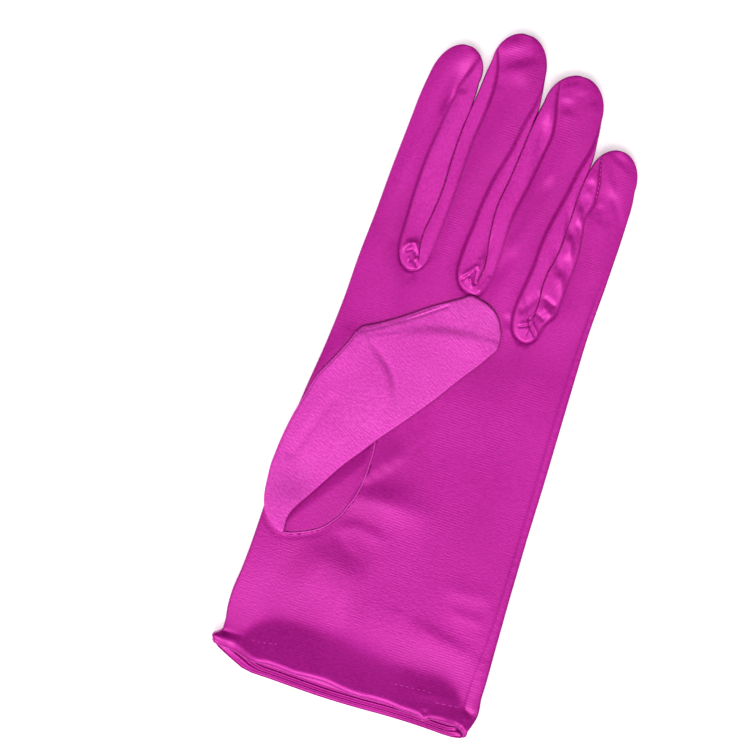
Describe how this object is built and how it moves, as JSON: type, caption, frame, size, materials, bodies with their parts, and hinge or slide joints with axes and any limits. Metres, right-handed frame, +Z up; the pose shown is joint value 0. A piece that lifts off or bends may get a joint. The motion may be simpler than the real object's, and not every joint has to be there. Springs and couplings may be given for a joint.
{
  "type": "satin glove",
  "caption": "Short satin dress glove lying flat, palm side up, with the thumb folded over the palm, gussets between the fingers and an open hemmed cuff.",
  "frame": {"origin": "centre of the glove's plan box, on the surface that it lies on", "axes": "+Y from the cuff to the fingertips, +X from the index finger's side to the little finger's side, +Z up out of the palm"},
  "size_m": [0.0924, 0.23, 0.0147],
  "materials": {
    "satin_hand": "magenta stretch satin, fine crosswise ribs, soft sheen",
    "satin_thumb": "magenta stretch satin cut on another grain, so it looks lighter",
    "satin_gusset": "magenta stretch satin, narrow puckered strips with bright sheen"
  },
  "bodies": {
    "root": {"hand": "satin_hand", "thumb": "satin_thumb", "gusset_index_middle": "satin_gusset", "gusset_middle_ring": "satin_gusset", "gusset_ring_little": "satin_gusset"}
  },
  "joints": []
}
